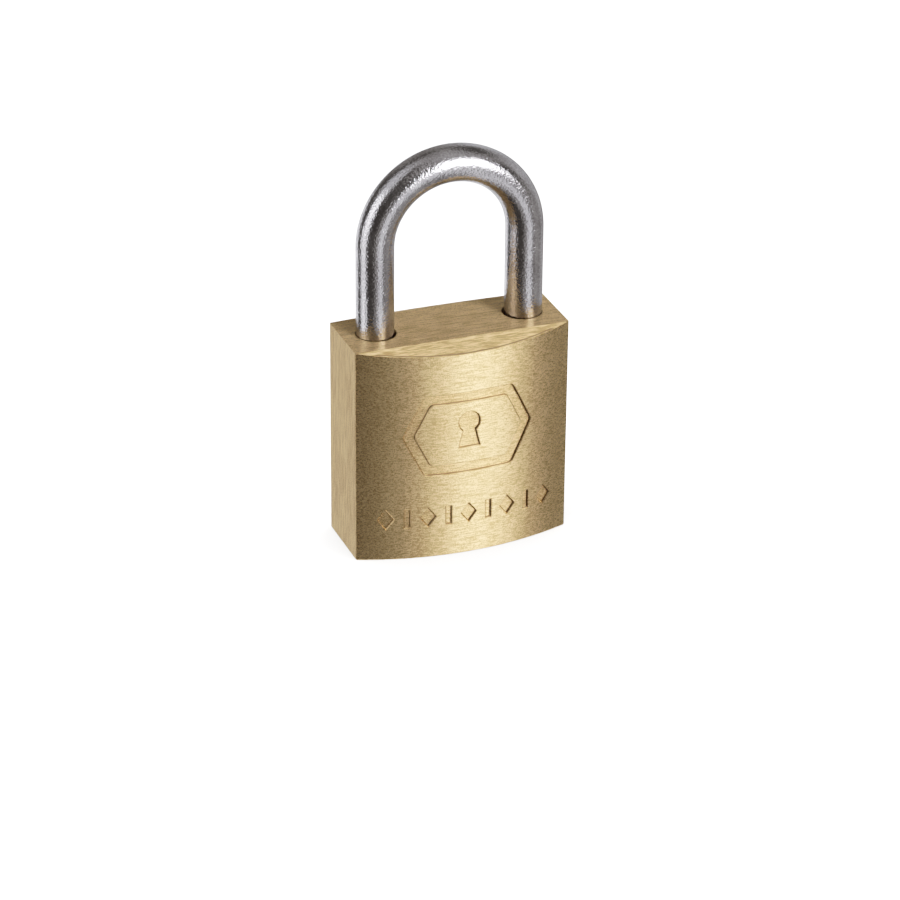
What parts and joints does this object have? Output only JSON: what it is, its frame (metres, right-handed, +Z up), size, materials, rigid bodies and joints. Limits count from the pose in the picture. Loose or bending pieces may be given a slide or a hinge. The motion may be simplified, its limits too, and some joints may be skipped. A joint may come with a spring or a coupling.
{
  "type": "padlock",
  "caption": "Brass pin-tumbler padlock with a bowed solid body, a plated round shackle that lifts, a turning cylinder plug, a sliding latch and sprung pin stacks.",
  "frame": {"origin": "centre of the body's flat base", "axes": "+Z up along the shackle legs, +X from the heel leg towards the toe leg, -Y out of the engraved front face"},
  "size_m": [0.03, 0.0158, 0.0558],
  "materials": {
    "body_brass": "brushed satin",
    "plug_brass": "turned, fine satin",
    "pin_brass": "turned",
    "shackle_steel": "bright plated over drawn steel",
    "pin_steel": "ground",
    "spring_steel": "drawn wire"
  },
  "bodies": {
    "lock_body": {"lock_body": "body_brass", "shackle_retaining_pin": "pin_brass", "plug_retaining_pin": "pin_brass", "latch_bore_plug": "body_brass", "chamber_plug_1": "body_brass", "chamber_plug_2": "body_brass", "chamber_plug_3": "body_brass", "chamber_plug_4": "body_brass", "shackle_spring": "spring_steel", "latch_spring": "spring_steel", "pin_spring_1": "spring_steel", "pin_spring_2": "spring_steel", "pin_spring_3": "spring_steel", "pin_spring_4": "spring_steel"},
    "shackle": {"shackle": "shackle_steel"},
    "plug": {"cylinder_plug": "plug_brass", "drive_pin": "pin_steel"},
    "latch": {"latch": "pin_brass"},
    "key_pin_1": {"key_pin_1": "pin_brass"},
    "key_pin_2": {"key_pin_2": "pin_brass"},
    "key_pin_3": {"key_pin_3": "pin_brass"},
    "key_pin_4": {"key_pin_4": "pin_brass"},
    "driver_pin_1": {"driver_pin_1": "pin_brass"},
    "driver_pin_2": {"driver_pin_2": "pin_brass"},
    "driver_pin_3": {"driver_pin_3": "pin_brass"},
    "driver_pin_4": {"driver_pin_4": "pin_brass"}
  },
  "joints": [
    {"name": "shackle_lift", "type": "slide", "parent": "lock_body", "child": "shackle", "axis": [0, 0, 1], "range_m": [0, 0.011], "deforming": ["shackle_spring"]},
    {"name": "plug_turn", "type": "hinge", "parent": "lock_body", "child": "plug", "pos_m": [0, 0, 0], "axis": [0, 0, 1], "range_deg": [-180, 0]},
    {"name": "latch_slide", "type": "slide", "parent": "lock_body", "child": "latch", "axis": [1, 0, 0], "range_m": [0, 0.0022], "deforming": ["latch_spring"]},
    {"name": "key_pin_1_slide", "type": "slide", "parent": "plug", "child": "key_pin_1", "axis": [1, 0, 0], "range_m": [0, 0.00168]},
    {"name": "key_pin_2_slide", "type": "slide", "parent": "plug", "child": "key_pin_2", "axis": [1, 0, 0], "range_m": [0, 0.00248]},
    {"name": "key_pin_3_slide", "type": "slide", "parent": "plug", "child": "key_pin_3", "axis": [1, 0, 0], "range_m": [0, 0.00128]},
    {"name": "key_pin_4_slide", "type": "slide", "parent": "plug", "child": "key_pin_4", "axis": [1, 0, 0], "range_m": [0, 0.00208]},
    {"name": "driver_pin_1_slide", "type": "slide", "parent": "lock_body", "child": "driver_pin_1", "axis": [1, 0, 0], "range_m": [0, 0.0012], "stiffness_N_per_m": 120, "springref_m": -0.001, "deforming": ["pin_spring_1"]},
    {"name": "driver_pin_2_slide", "type": "slide", "parent": "lock_body", "child": "driver_pin_2", "axis": [1, 0, 0], "range_m": [0, 0.0012], "stiffness_N_per_m": 120, "springref_m": -0.001, "deforming": ["pin_spring_2"]},
    {"name": "driver_pin_3_slide", "type": "slide", "parent": "lock_body", "child": "driver_pin_3", "axis": [1, 0, 0], "range_m": [0, 0.0012], "stiffness_N_per_m": 120, "springref_m": -0.001, "deforming": ["pin_spring_3"]},
    {"name": "driver_pin_4_slide", "type": "slide", "parent": "lock_body", "child": "driver_pin_4", "axis": [1, 0, 0], "range_m": [0, 0.0012], "stiffness_N_per_m": 120, "springref_m": -0.001, "deforming": ["pin_spring_4"]}
  ],
  "couplings": [
    {"joint": "latch_slide", "follows": "plug_turn", "m_per_rad": -0.00070028}
  ]
}
